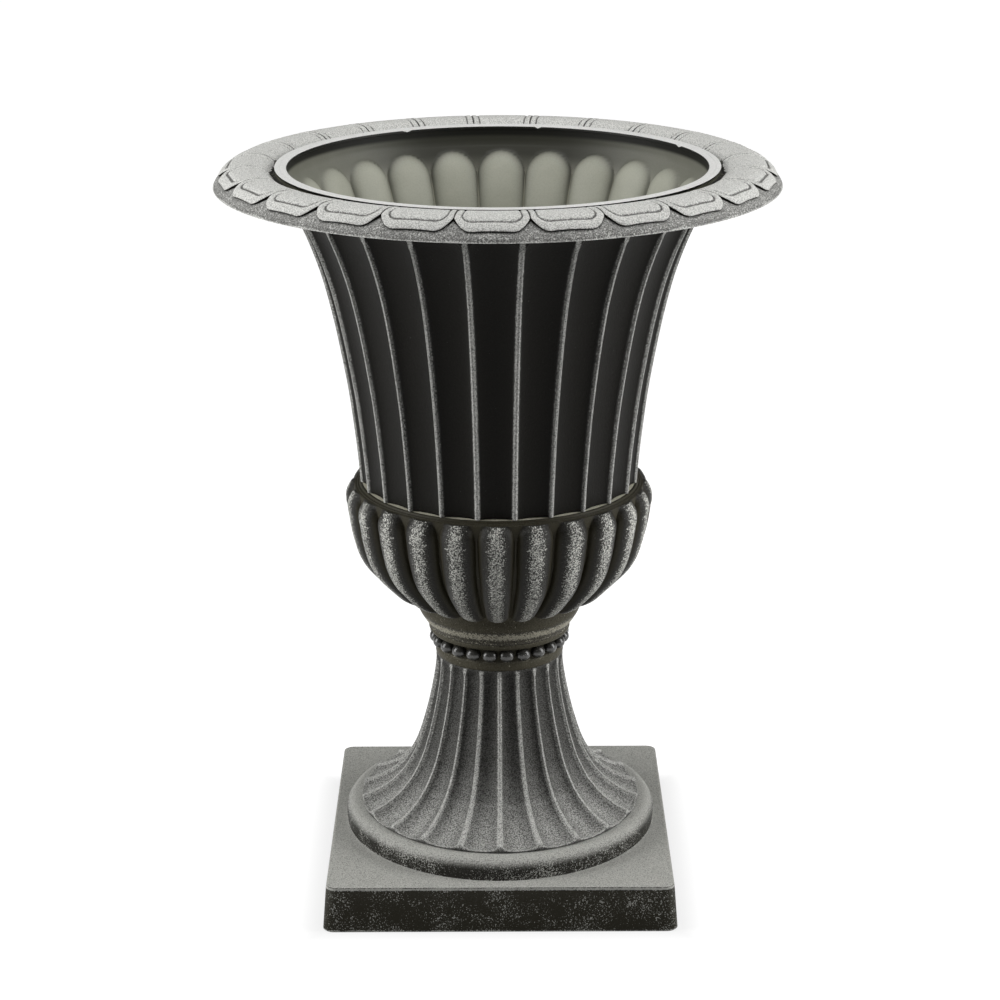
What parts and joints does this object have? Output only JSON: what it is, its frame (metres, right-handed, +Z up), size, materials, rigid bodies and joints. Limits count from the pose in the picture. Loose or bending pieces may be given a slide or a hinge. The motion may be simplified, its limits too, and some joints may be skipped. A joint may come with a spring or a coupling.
{
  "type": "urn planter",
  "caption": "Footed garden urn planter: flared fluted bowl with a petal rim, gadrooned cup, beaded collar and trumpet pedestal on a square plinth.",
  "frame": {"origin": "centre of the plinth's foot, on the ground", "axes": "+Z up along the urn's axis; the front faces -Y, square to a side of the plinth"},
  "size_m": [0.4058, 0.4058, 0.5466],
  "materials": {
    "pewter_light": "dry-brushed antique pewter over dark plastic, light on upward faces",
    "pewter_dark": "dark antique pewter, silver-grey on ridges and crowns",
    "bowl_plastic": "bare grey-green plastic inside, dark antique pewter outside",
    "zinc_steel": "zinc-plated steel",
    "rubber": "black rubber"
  },
  "bodies": {
    "urn": {"plinth": "pewter_light", "pedestal": "pewter_dark", "plinth_screw_1": "zinc_steel", "plinth_screw_2": "zinc_steel", "plinth_screw_3": "zinc_steel", "plinth_screw_4": "zinc_steel", "bead_collar": "pewter_dark", "gadroon_cup": "pewter_dark", "fluted_bowl": "bowl_plastic", "rim_ring": "pewter_light", "bolt_seal": "rubber", "head_washer": "zinc_steel", "tie_bolt": "zinc_steel", "nut_washer": "zinc_steel", "wing_nut": "zinc_steel"},
    "plug": {"drain_plug": "rubber"}
  },
  "joints": [
    {"name": "plug_lift", "type": "slide", "parent": "urn", "child": "plug", "axis": [0, 0, 1], "range_m": [0, 0.025]}
  ]
}
